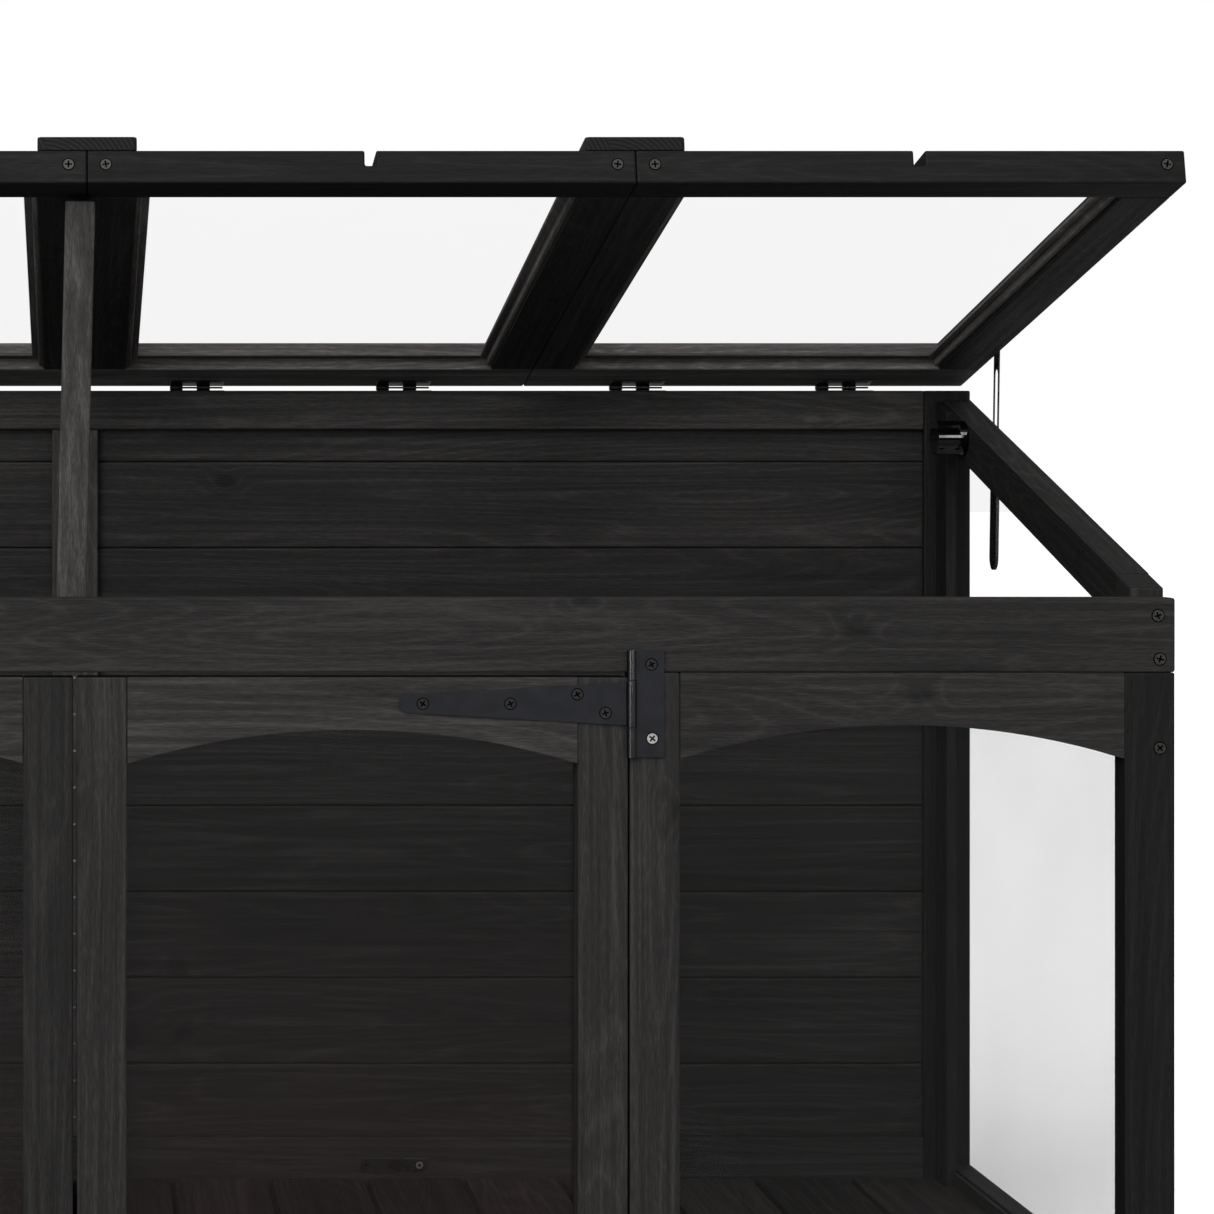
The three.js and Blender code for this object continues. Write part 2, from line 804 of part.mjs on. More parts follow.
// The clamp knob: a round base against the side frame and a lobed head.
function stayKnob(sign) {
  const near = sideInner - knobGap;
  const baseEnd = near - knobBase;
  const headEnd = baseEnd - knobHead;
  const steps = 48;
  const lobed = [];
  for (let i = 0; i < steps; i += 1) {
    const turn = (2 * Math.PI * i) / steps;
    const radius = knobRadius * (0.93 + 0.07 * Math.cos(knobLobes * turn));
    lobed.push([radius * Math.cos(turn), radius * Math.sin(turn)]);
  }
  const hole = bar(
    "x",
    boltRadius + boltClearance,
    sign * (near + 1),
    sign * (near - boltReach - 1),
    [0, 0],
  );
  return slab("yz", polygon(lobed), sign * headEnd, sign * (baseEnd + 0.5))
    .add(bar("x", knobBaseRadius, sign * baseEnd, sign * near, [0, 0], 40))
    .subtract(hole);
}

function placed(y, z, turn) {
  const group = new THREE.Group();
  group.position.set(0, y, z);
  group.rotation.x = turn;
  model.add(group);
  return group;
}

for (const { name, sign } of SIDES) {
  piece(`${name}_stay_blade`, stayBlade(sign), zincSteel(), placed(pin.y, pin.z, stayLean));
  piece(`${name}_stay_sheath`, staySheath(sign), zincSteel(), placed(clamp.y, clamp.z, stayLean));
  piece(`${name}_stay_knob`, stayKnob(sign), blackPlastic(), placed(clamp.y, clamp.z, 0));
}

// ---------------------------------------------------------------- the whole

// The middle of the footprint goes to the origin.
model.updateMatrixWorld(true);
const footprint = new THREE.Box3().setFromObject(model);
model.position.y = -(footprint.min.y + footprint.max.y) / 2;

const coldFrame = new THREE.Group();
coldFrame.add(model);

export default coldFrame;
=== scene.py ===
# %% [markdown]
# # A wooden cold frame
# The frame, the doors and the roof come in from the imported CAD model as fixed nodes. This script
# gives them their stained wood, clear sheet and black steel, and adds the pieces that only the eye
# needs: the timbers of each roof sash, the boards of the back, the small hinges, the screws and
# the plates.

# %% Load the frame
import json
import math

import bmesh
import bpy
from mathutils import Matrix, Vector


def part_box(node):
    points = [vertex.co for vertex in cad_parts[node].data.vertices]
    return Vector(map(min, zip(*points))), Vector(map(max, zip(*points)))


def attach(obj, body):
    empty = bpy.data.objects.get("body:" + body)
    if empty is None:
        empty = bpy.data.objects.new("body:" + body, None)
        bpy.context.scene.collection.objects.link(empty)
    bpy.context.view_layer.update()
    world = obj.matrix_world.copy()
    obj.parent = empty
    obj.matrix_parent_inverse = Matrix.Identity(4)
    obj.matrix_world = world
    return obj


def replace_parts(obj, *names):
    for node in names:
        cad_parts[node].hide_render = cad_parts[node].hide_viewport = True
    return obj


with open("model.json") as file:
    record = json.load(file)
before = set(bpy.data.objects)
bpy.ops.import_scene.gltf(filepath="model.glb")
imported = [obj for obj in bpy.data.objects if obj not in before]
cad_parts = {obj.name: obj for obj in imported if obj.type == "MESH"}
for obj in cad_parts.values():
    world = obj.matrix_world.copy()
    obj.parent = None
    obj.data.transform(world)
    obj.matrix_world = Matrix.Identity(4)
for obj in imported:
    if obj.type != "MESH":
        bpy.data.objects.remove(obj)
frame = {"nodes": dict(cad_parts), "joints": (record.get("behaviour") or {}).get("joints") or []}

nodes = frame["nodes"]
scene = bpy.context.scene
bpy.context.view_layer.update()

# %% [markdown]
# ## Places that the other cells measure from
# Everything is in metres in the CAD model's own frame. The roof is open, so its pieces are easiest
# to place in a frame of its own: the origin on the hinge line, -Y down the length of the roof to
# its front edge and +Z out of its top. One matrix takes that frame to the model's.

# %% Key places
SIDES = {"left": -1, "right": 1}
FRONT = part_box("front_beam")[0].y
BACK_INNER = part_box("back_top_rail")[0].y
hinge_line = Vector(next(j["pos_m"] for j in frame["joints"] if j["name"] == "roof_hinge"))
ROOF_SLOPE = math.radians(12.4)
to_roof = Matrix.Translation(hinge_line) @ Matrix.Rotation(-ROOF_SLOPE, 4, "X")
print("front face", round(FRONT, 4), "hinge line", tuple(round(v, 4) for v in hinge_line))

# %% [markdown]
# ## Small helpers for shader nodes
# A material is a graph of nodes. These helpers add a node, fill its sockets with numbers or with
# another node's output, and hand back the output, so a finish reads as a short list of steps. The
# first few add single nodes. The later ones are pairs of nodes that most finishes share.


# %% Shader helpers
def new_material(name):
    material = bpy.data.materials.new(name)
    material.use_nodes = True
    return material, material.node_tree, material.node_tree.nodes["Principled BSDF"]


def add(tree, kind, sockets, out=0, **settings):
    """Adds a node, sets its properties and sockets, and returns one of its outputs."""
    made = tree.nodes.new(kind)
    for key, value in settings.items():
        setattr(made, key, value)
    for key, value in sockets.items():
        if isinstance(value, bpy.types.NodeSocket):
            tree.links.new(value, made.inputs[key])
        else:
            made.inputs[key].default_value = value
    return made.outputs[out]


def calc(tree, operation, a, b=0.0, clamp=False):
    return add(tree, "ShaderNodeMath", {0: a, 1: b}, operation=operation, use_clamp=clamp)


def stretch(tree, vector, amounts):
    return add(tree, "ShaderNodeVectorMath", {0: vector, 1: amounts}, operation="MULTIPLY")


def apart(tree, a, b):
    """How far two values are from each other, without a sign."""
    return calc(tree, "ABSOLUTE", calc(tree, "SUBTRACT", a, b))


def sway(tree, value, middle, amount):
    """How far value is above its middle, times amount."""
    return calc(tree, "MULTIPLY", calc(tree, "SUBTRACT", value, middle), amount)


def noise(tree, vector, detail, roughness, scale=1.0):
    sockets = {"Vector": vector, "Scale": scale, "Detail": detail, "Roughness": roughness}
    return add(tree, "ShaderNodeTexNoise", sockets)


def smooth_rise(tree, value, start, end, top):
    """Goes smoothly from 0 to top while value goes from start to end."""
    sockets = {"Value": value, "From Min": start, "From Max": end, "To Min": 0.0, "To Max": top}
    return add(tree, "ShaderNodeMapRange", sockets, interpolation_type="SMOOTHSTEP")


def ramp(tree, factor, stops):
    """A colour ramp with (position, colour) stops."""
    made = tree.nodes.new("ShaderNodeValToRGB")
    elements = made.color_ramp.elements
    while len(elements) < len(stops):
        elements.new(0.5)
    for element, (position, colour) in zip(elements, stops):
        element.position = position
        element.color = (*colour, 1.0)
    tree.links.new(factor, made.inputs["Fac"])
    return made.outputs["Color"]


def bump(tree, shader, height, strength, distance):
    sockets = {"Height": height, "Strength": strength, "Distance": distance}
    tree.links.new(add(tree, "ShaderNodeBump", sockets), shader.inputs["Normal"])


print("shader helpers ready")


# %% [markdown]
# ## Stained softwood
# The timbers are planed softwood under a charcoal stain that lets the grain through. Wood is long
# streaks one way, so the texture space is squeezed across the grain. Four patterns add up: fine
# streaks, growth rings that wander into long arches, small round knots that push the rings aside,
# and a slow blotch where the stain went on thicker. A sawn end cuts across all of that, so faces
# that look along the grain show the tree's rings as arcs instead. Each timber gets its own seed,
# tone and direction.


# %% Stained wood
AXES = {"X": 0, "Y": 1, "Z": 2}
STAIN = ((0.0085, 0.0080, 0.0077), (0.0185, 0.0174, 0.0168), (0.0400, 0.0378, 0.0362))
STAIN_GLOSS = 0.17
KNOT_HEART, KNOT_RIM, KNOT_REACH = 0.03, 0.10, 0.22
RING_COUNT, END_RING_COUNT, PITH_PER_METRE = 30.0, 26.0, 11.0
END_FACE = 0.8


def own_course(tree, place, axis, start, pitch):
    """Shifts each board in a row to a grain of its own. Returns the place and a change of shade."""
    along_row = add(tree, "ShaderNodeSeparateXYZ", {0: place}, out=AXES[axis])
    from_start = calc(tree, "SUBTRACT", along_row, start)
    course = calc(tree, "FLOOR", calc(tree, "DIVIDE", from_start, pitch))
    chance = add(tree, "ShaderNodeTexWhiteNoise", {"W": course}, noise_dimensions="1D")
    shift = {0: (3.1, 4.7, 2.9), "Scale": chance}
    offset = add(tree, "ShaderNodeVectorMath", shift, operation="SCALE")
    moved = add(tree, "ShaderNodeVectorMath", {0: place, 1: offset}, operation="ADD")
    return moved, sway(tree, chance, 0.5, 0.5)


def end_grain(tree, turned, along, pores):
    """Rings round a pith, as a sawn end shows them. Returns them and 1 where a face is an end."""
    around = [PITH_PER_METRE] * 3
    around[AXES[along]] = 0.0
    cells = stretch(tree, turned, around)
    pith = add(tree, "ShaderNodeVectorMath", {0: cells}, operation="FRACTION")
    from_pith = add(tree, "ShaderNodeVectorMath", {0: pith}, out=1, operation="LENGTH")
    arcs = calc(tree, "PINGPONG", calc(tree, "MULTIPLY", from_pith, END_RING_COUNT), 0.5)
    arcs = calc(tree, "ADD", calc(tree, "MULTIPLY", arcs, 1.9), calc(tree, "MULTIPLY", pores, 0.6))
    normal = add(tree, "ShaderNodeTexCoord", {}, out=1)
    facing = add(tree, "ShaderNodeSeparateXYZ", {0: normal}, out=AXES[along])
    return arcs, calc(tree, "GREATER_THAN", calc(tree, "ABSOLUTE", facing), END_FACE)


def stained_wood(name, along, seed, tone=1.0, tilt=0.0, red=0.0, courses=None):
    """along is the grain's axis, after a turn of tilt about X that lays a sloping timber flat.
    courses is (axis, start, pitch) for a row of boards, each with its own grain and tone."""
    material, tree, shader = new_material(name)
    place = add(tree, "ShaderNodeTexCoord", {}, out=3)
    if courses:
        place, course_shade = own_course(tree, place, *courses)
    turn = {
        "Vector": place,
        "Rotation": (tilt, 0.0, 0.0),
        "Location": (seed * 1.37, seed * 2.11, seed * 0.73),
    }
    turned = add(tree, "ShaderNodeMapping", turn)

    def squeezed(long, across):
        amounts = [across] * 3
        amounts[AXES[along]] = long
        return stretch(tree, turned, amounts)

    streaks = noise(tree, squeezed(2.6, 165.0), 8.0, 0.74)
    pores = noise(tree, squeezed(90.0, 1000.0), 3.0, 0.6)
    blotch = noise(tree, squeezed(2.2, 13.0), 3.0, 0.6)
    wander = noise(tree, squeezed(1.1, 13.0), 1.5, 0.45)
    knot_far = add(tree, "ShaderNodeTexVoronoi", {"Vector": squeezed(6.5, 8.5), "Scale": 1.0})
    knot = smooth_rise(tree, knot_far, KNOT_RIM, KNOT_HEART, 1.0)
    swell = smooth_rise(tree, knot_far, KNOT_REACH, 0.0, 0.055)
    rings = calc(tree, "MULTIPLY", calc(tree, "ADD", wander, swell), RING_COUNT)
    rings = calc(tree, "PINGPONG", rings, 0.5)
    rings = calc(tree, "POWER", calc(tree, "MULTIPLY", rings, 2.0), 3.0)

    shade = sway(tree, streaks, 0.5, 1.7)
    for pattern, middle, amount in ((rings, 0.25, 0.24), (blotch, 0.5, 0.75), (pores, 0.5, 1.15)):
        shade = calc(tree, "ADD", shade, sway(tree, pattern, middle, amount))
    shade = calc(tree, "SUBTRACT", shade, calc(tree, "MULTIPLY", knot, 0.42))
    if courses:
        shade = calc(tree, "ADD", shade, course_shade)
    arcs, sawn = end_grain(tree, turned, along, pores)
    change = calc(tree, "SUBTRACT", calc(tree, "SUBTRACT", arcs, 1.12), shade)
    shade = calc(tree, "ADD", shade, calc(tree, "MULTIPLY", sawn, change))
    shade = calc(tree, "ADD", shade, 0.5, clamp=True)

    stains = [[tone * v for v in (r * (1 + red), g, b)] for r, g, b in STAIN]
    colour = ramp(tree, shade, list(zip((0.0, 0.5, 1.0), stains)))
    tree.links.new(colour, shader.inputs["Base Color"])
    rough = calc(tree, "SUBTRACT", 0.74, calc(tree, "MULTIPLY", shade, 0.2))
    tree.links.new(rough, shader.inputs["Roughness"])
    shader.inputs["Specular IOR Level"].default_value = STAIN_GLOSS
    height = calc(tree, "ADD", streaks, calc(tree, "MULTIPLY", pores, 0.5))
    height = calc(tree, "ADD", height, calc(tree, "MULTIPLY", rings, 0.12))
    bump(tree, shader, height, 0.5, 0.0008)
    return material


print("stain from dark to light:", STAIN)

# %% [markdown]
# ## Clear sheet
# The panes are thin clear plastic. Seen straight on they only dim what is behind them; seen at a
# slant they mirror more. Opacity that grows as the sheet turns away, from a Layer Weight node, does
# both without bending light, so the inside of the frame stays lit. The front panes also wear a thin
# film, greyer high up and browner towards the bottom, that veils the boards behind them. The film
# is partly real dust and splashed earth and partly painted reflection: the brown low on the door
# panes stands for a reddish reflection in them.


# %% Clear sheet
EDGE_ON_MIRROR = 0.09
SHEET_IOR = 1.49
FILM_TINT_LOW, FILM_TINT_HIGH = 0.30, 0.62


def clear_sheet(name, seed, film, film_tint=None):
    """film is how much the sheet veils straight on; the tint pair after it, top then bottom, is
    partly dust and splashes and partly painted reflection.
    """
    material, tree, shader = new_material(name)
    place = add(tree, "ShaderNodeTexCoord", {}, out=3)
    moved = add(tree, "ShaderNodeMapping", {"Vector": place, "Location": (seed, seed * 1.9, 0.0)})
    wiped = noise(tree, stretch(tree, moved, (5.0, 5.0, 1.6)), 5.0, 0.6)
    if film_tint:
        # The tint blends from its bottom colour to its top colour with height: partly dust and
        # splashes, partly painted reflection.
        height = add(tree, "ShaderNodeSeparateXYZ", {0: place}, out=2)
        height = calc(tree, "ADD", height, calc(tree, "MULTIPLY", wiped, 0.25))
        limits = {"Value": height, "From Min": FILM_TINT_LOW, "From Max": FILM_TINT_HIGH}
        rise = add(tree, "ShaderNodeMapRange", limits)
        haze = ramp(tree, rise, [(0.0, film_tint[1]), (1.0, film_tint[0])])
    else:
        greys = [(0.35, (0.025,) * 3), (0.62, (0.055,) * 3), (0.8, (0.1,) * 3)]
        haze = ramp(tree, wiped, greys)
    tree.links.new(haze, shader.inputs["Base Color"])
    facing = add(tree, "ShaderNodeLayerWeight", {"Blend": 0.5}, out=1)
    mirror = calc(tree, "MULTIPLY", calc(tree, "POWER", facing, 3.0), EDGE_ON_MIRROR)
    smears = calc(tree, "MULTIPLY", calc(tree, "ADD", wiped, 0.5), film)
    opacity = calc(tree, "ADD", mirror, smears, clamp=True)
    tree.links.new(opacity, shader.inputs["Alpha"])
    rough = calc(tree, "ADD", calc(tree, "MULTIPLY", wiped, 0.05), 0.02)
    tree.links.new(rough, shader.inputs["Roughness"])
    shader.inputs["IOR"].default_value = SHEET_IOR
    return material


print("a sheet's index of refraction:", SHEET_IOR)

# %% [markdown]
# ## Metals and the knob
# The strap hinges are steel under black powder coat: satin, with a fine orange-peel bump. The
# stays, the small hinges and most screws are black zinc, a shinier metal. One screw on each hinge
# leaf and plate is bright zinc, as are the batten's pins. The knob is a glossy black moulding,
# nearly smooth, with a slight ripple that breaks its highlights. A last, dead black finish is
# painted shade: it darkens the screws' recesses and draws a painted shadow line round their heads.


# %% Metals and plastic
def coated_steel(name, colour, roughness, metallic, seed, peel=1400.0, depth=0.00006):
    """A thin coat on metal: peel is the scale of its fine bump, and depth the bump's height."""
    material, tree, shader = new_material(name)
    place = add(tree, "ShaderNodeTexCoord", {}, out=3)
    moved = add(tree, "ShaderNodeMapping", {"Vector": place, "Location": (seed, seed, seed)})
    fine = noise(tree, moved, 2.0, 0.5, peel)
    rubbed = noise(tree, moved, 5.0, 0.65, 60.0)
    paler = [min(1.0, v * 1.55) for v in colour]
    coat = ramp(tree, rubbed, [(0.3, colour), (0.75, paler)])
    tree.links.new(coat, shader.inputs["Base Color"])
    varied = sway(tree, rubbed, 0.5, 0.25)
    tree.links.new(calc(tree, "ADD", varied, roughness), shader.inputs["Roughness"])
    shader.inputs["Metallic"].default_value = metallic
    bump(tree, shader, fine, 0.6, depth)
    return material


powder_coat = coated_steel("black_powder_coat", (0.0082, 0.0086, 0.0112), 0.22, 0.0, 1.0)
black_zinc = coated_steel("black_zinc", (0.045, 0.046, 0.05), 0.28, 0.9, 2.0, peel=900.0)
screw_zinc = coated_steel("screw_black_zinc", (0.036, 0.035, 0.033), 0.36, 0.8, 3.0, peel=2500.0)
bright_zinc = coated_steel("bright_zinc", (0.62, 0.62, 0.6), 0.28, 1.0, 4.0, peel=2500.0)
knob_plastic = coated_steel(
    "knob_black_plastic", (0.001, 0.001, 0.0011), 0.1, 0.0, 5.0, peel=500.0, depth=0.00002
)
coated_zinc = coated_steel("screw_coated_zinc", (0.026, 0.026, 0.027), 0.3, 0.5, 6.0, peel=2500.0)
# Painted shade: a dead black with no gloss, for the shade in the screws' cross recesses and the
# shadow line round their heads.
recess_painted_shade = coated_steel("recess_painted_shade", (0.0012, 0.0012, 0.0012), 0.8, 0.0, 7.0, peel=2500.0)
for finish, gloss in ((knob_plastic, 0.45), (recess_painted_shade, 0.0)):
    shader = finish.node_tree.nodes["Principled BSDF"]
    shader.inputs["Specular IOR Level"].default_value = gloss
print("materials so far:", len(bpy.data.materials))

# %% [markdown]
# ## Timbers that come from the CAD model
# Planed timber is never sharp: a pass of sandpaper leaves a small round on each edge, and that
# round catches the light. The CAD meshes are loose triangles, so a Weld joins them first, and a
# Bevel that acts only on real corners eases the edges. The mesh itself isn't touched.


# %% Ease the edges of a CAD node
TIMBER_EASE = 0.0014
CAP_EASE = 0.0028
SHARPEST_KEPT = math.radians(40)


def finish_node(name, material, ease, segments=2):
    """Gives a CAD node its finish, and a round of that radius along its real corners."""
    piece = nodes[name]
    piece.data.materials.clear()
    piece.data.materials.append(material)
    weld = piece.modifiers.new("Weld", "WELD")
    weld.merge_threshold = 0.00002
    bevel = piece.modifiers.new("Bevel", "BEVEL")
    bevel.width = ease
    bevel.segments = segments
    bevel.limit_method = "ANGLE"
    bevel.angle_limit = SHARPEST_KEPT


print("a planed timber's edge round:", TIMBER_EASE)

# %% Finish the house's timbers
SIDE_SLOPE = 0.289613
SLOPE_TILT = -math.atan(SIDE_SLOPE)
timber_tones = [
    ("front_beam", "X", 0.83),
    ("front_bottom_rail", "X", 1.10),
    ("back_top_rail", "X", 1.35),
    ("back_bottom_rail", "X", 1.05),
    ("prop_stick", "Z", 2.1),
]
for side in SIDES:
    timber_tones += [
        (f"{side}_front_post", "Z", 0.32),
        (f"{side}_panel_stile", "Z", 1.12),
        (f"{side}_panel_arch_rail", "X", 0.94),
        (f"{side}_door_meeting_stile", "Z", 0.68 if side == "left" else 1.10),
        (f"{side}_door_hinge_stile", "Z", 1.12),
        (f"{side}_door_arch_rail", "X", 1.42),
        (f"{side}_door_bottom_rail", "X", 1.25),
        (f"{side}_side_stile", "Z", 0.95),
        (f"{side}_slope_rail", "Y", 0.65),
        (f"{side}_side_bottom_rail", "Y", 1.10),
        (f"{side}_back_post", "Z", 0.5),
    ]
for seed, (name, along, tone) in enumerate(timber_tones, start=3):
    tilt = SLOPE_TILT if name.endswith("slope_rail") else 0.0
    finish_node(name, stained_wood(f"{name}_wood", along, seed, tone, tilt), TIMBER_EASE)
roof_caps = ["roof_cap_left", "roof_cap_centre", "roof_cap_right"]
for seed, name in enumerate(roof_caps, start=60):
    cap_wood = stained_wood(f"{name}_wood", "Y", seed, 0.55, ROOF_SLOPE)
    finish_node(name, cap_wood, CAP_EASE, 3)
print("timbers finished:", len(timber_tones) + len(roof_caps))

# %% [markdown]
# ## The slatted floor
# The floor is a row of narrow boards with gaps. They are one CAD solid, so the wood reads which
# board a point is on from its place across the row, and gives each board its own grain and tone.

# %% Finish the floor
SLATS, SLAT_GAP = 18, 0.006
deck_low, deck_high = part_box("floor_deck")
slat_pitch = (deck_high.x - deck_low.x + SLAT_GAP) / SLATS
slat_courses = ("X", deck_low.x - SLAT_GAP / 2, slat_pitch)
floor_wood = stained_wood("floor_wood", "Y", 71, 1.0, red=0.16, courses=slat_courses)
finish_node("floor_deck", floor_wood, TIMBER_EASE)
print("floor boards at a pitch of", round(slat_pitch, 4))

# %% [markdown]
# ## Panes, hinges, stays and knobs
# These keep their CAD shapes. Sheet metal has a much smaller edge round than wood, and the moulded
# knob a bigger one. A strap hinge's barrel is rolled round its pin and rubs bright, so the coat
# gives way to polished metal there.

# %% Shine on the strap hinges' barrels
BARREL_X, BARREL_REACH = 0.4445, 0.0041
KNUCKLE_HALF, SEAM_SHADE_HALF = 0.0190, 0.0007
UPPER, LOWER = 0.609, 0.123
BARREL_STEEL = (0.085, 0.085, 0.09, 1.0)
BARREL_SMOOTHER = 0.13


def shine_barrel(material):
    """Swaps the coat for rubbed steel within a barrel's reach of its axis, but leaves thin bands of
    dark coat at the seams between its knuckles, as painted shade in their gaps."""
    tree = material.node_tree
    shader = tree.nodes["Principled BSDF"]
    place = add(tree, "ShaderNodeTexCoord", {}, out=3)
    across = calc(tree, "ABSOLUTE", add(tree, "ShaderNodeSeparateXYZ", {0: place}))
    height = add(tree, "ShaderNodeSeparateXYZ", {0: place}, out=2)
    on_barrel = calc(tree, "LESS_THAN", apart(tree, across, BARREL_X), BARREL_REACH)
    # Painted shade: thin bands at the knuckle seams keep the dark coat, standing for the shade in
    # the gaps between knuckles.
    from_middle = calc(tree, "MINIMUM", apart(tree, height, UPPER), apart(tree, height, LOWER))
    off_seam_shade = calc(tree, "GREATER_THAN", apart(tree, from_middle, KNUCKLE_HALF), SEAM_SHADE_HALF)
    on_barrel = calc(tree, "MULTIPLY", on_barrel, off_seam_shade)
    coat = shader.inputs["Base Color"].links[0].from_socket
    mixed = tree.nodes.new("ShaderNodeMix")
    mixed.data_type = "RGBA"
    tree.links.new(on_barrel, mixed.inputs[0])
    tree.links.new(coat, mixed.inputs[6])
    mixed.inputs[7].default_value = BARREL_STEEL
    tree.links.new(mixed.outputs[2], shader.inputs["Base Color"])
    tree.links.new(on_barrel, shader.inputs["Metallic"])
    coat_rough = shader.inputs["Roughness"].links[0].from_socket
    smoother = calc(tree, "MULTIPLY", on_barrel, BARREL_SMOOTHER)
    tree.links.new(calc(tree, "SUBTRACT", coat_rough, smoother), shader.inputs["Roughness"])


shine_barrel(powder_coat)
print("barrels rubbed bright at heights", UPPER, LOWER)

# %% Finish the panes and the metal
CLEAN_FILM, FRONT_FILM = 0.014, 0.17
# Film tints, top and bottom: real dust and splashes mixed with painted reflection, the brown one a
# reddish reflection low in the door panes.
GREY_DUST_AND_REFLECTION, BROWN_SPLASH_AND_REFLECTION = (0.0085, 0.0098, 0.0090), (0.0230, 0.0130, 0.0120)
SHEET_EASE, STRAP_EASE, STAY_EASE, KNOB_EASE = 0.0003, 0.0004, 0.0002, 0.0012
pane_names = sorted(n for n in nodes if n.endswith("_pane") or n.startswith("roof_pane"))
for seed, name in enumerate(pane_names, start=1):
    film, film_tint = CLEAN_FILM, None
    if "door" in name:
        film, film_tint = FRONT_FILM, (GREY_DUST_AND_REFLECTION, BROWN_SPLASH_AND_REFLECTION)
    if "panel" in name:
        film, film_tint = FRONT_FILM, (GREY_DUST_AND_REFLECTION, GREY_DUST_AND_REFLECTION)
    finish_node(name, clear_sheet(f"{name}_sheet", seed * 0.77, film, film_tint), SHEET_EASE, 1)
for side in SIDES:
    for level in ("upper", "lower"):
        finish_node(f"{side}_{level}_hinge_leaf", powder_coat, STRAP_EASE)
        finish_node(f"{side}_{level}_hinge_strap", powder_coat, STRAP_EASE)
    finish_node(f"{side}_stay_blade", black_zinc, STAY_EASE, 1)
    finish_node(f"{side}_stay_sheath", black_zinc, STAY_EASE, 1)
    finish_node(f"{side}_stay_knob", knob_plastic, KNOB_EASE, 3)
print("panes:", len(pane_names))


# %% [markdown]
# ## Building new timbers
# A timber is its end section pushed along its length. A few points make the section's face, the
# extrude operator gives it length, and the bevel operator eases every edge. Drawing the section in
# the roof's own frame and turning the finished mesh keeps the numbers plain.


# %% Timber from a section
def new_piece(name, mesh_builder, material, body, matrix=None):
    """Runs mesh_builder on a fresh bmesh, and makes an object of it that rides on a CAD body.
    material is one material, or a list that the faces' material numbers count in."""
    bm = bmesh.new()
    mesh_builder(bm)
    if matrix is not None:
        bmesh.ops.transform(bm, matrix=matrix, verts=bm.verts)
    bmesh.ops.recalc_face_normals(bm, faces=bm.faces)
    mesh = bpy.data.meshes.new(name)
    bm.to_mesh(mesh)
    bm.free()
    for finish in material if isinstance(material, list) else [material]:
        mesh.materials.append(finish)
    piece = bpy.data.objects.new(name, mesh)
    scene.collection.objects.link(piece)
    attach(piece, body)
    return piece


def push_section(bm, points, travel, ease, segments=2):
    """A closed bar: the face through the points, extruded along travel, with eased edges."""
    corners = [bm.verts.new(p) for p in points]
    face = bm.faces.new(corners)
    pushed = bmesh.ops.extrude_face_region(bm, geom=[face])
    moved = [v for v in pushed["geom"] if isinstance(v, bmesh.types.BMVert)]
    bmesh.ops.translate(bm, verts=moved, vec=travel)
    verts = set(corners) | set(moved)
    edges = [e for e in bm.edges if e.verts[0] in verts and e.verts[1] in verts]
    bmesh.ops.bevel(
        bm, geom=edges, offset=ease, segments=segments, profile=0.5, affect="EDGES", material=-1
    )


def push_block(bm, low, high, ease=TIMBER_EASE, segments=2):
    """A block from its low corner to its high one: its low-X face, pushed along X."""
    points = [
        (low[0], low[1], low[2]),
        (low[0], high[1], low[2]),
        (low[0], high[1], high[2]),
        (low[0], low[1], high[2]),
    ]
    push_section(bm, points, (high[0] - low[0], 0, 0), ease, segments)


print("timber builders ready")

# %% [markdown]
# ## The roof's sashes
# Each sash is four timbers round a pane: a front rail with a drain notch in its top edge, a wide
# back rail, and two side rails between them. A thin ledge round the inside holds the pane, with a
# bead under it on the side rails. The CAD node is one solid, so its grain could only run one way;
# four timbers give each its own. Their tones differ widely as painted light: they make up for how
# little of the studio's light some of them get, so the back rail and the ledges are painted several
# times lighter and the front rail darker.

# %% Build the sash timbers
ROOF_FRONT, ROOF_BACK = -0.6626659, 0.007
ROOF_LOW, ROOF_HIGH = 0.003, 0.030
RAIL, BACK_RAIL = 0.040, 0.068
LEDGE, LEDGE_LOW, LEDGE_HIGH = 0.011, 0.014, 0.0172
LEDGE_TUCK, BEAD_TUCK, BEAD_WIDTH = 0.003, 0.001, 0.0045
NOTCH_OFF_CENTRE, NOTCH_HALF, NOTCH_DEPTH = 0.007, 0.0045, 0.0125
JOINT = 0.00025
RAILS_START, RAILS_END = ROOF_FRONT + RAIL, ROOF_BACK - BACK_RAIL

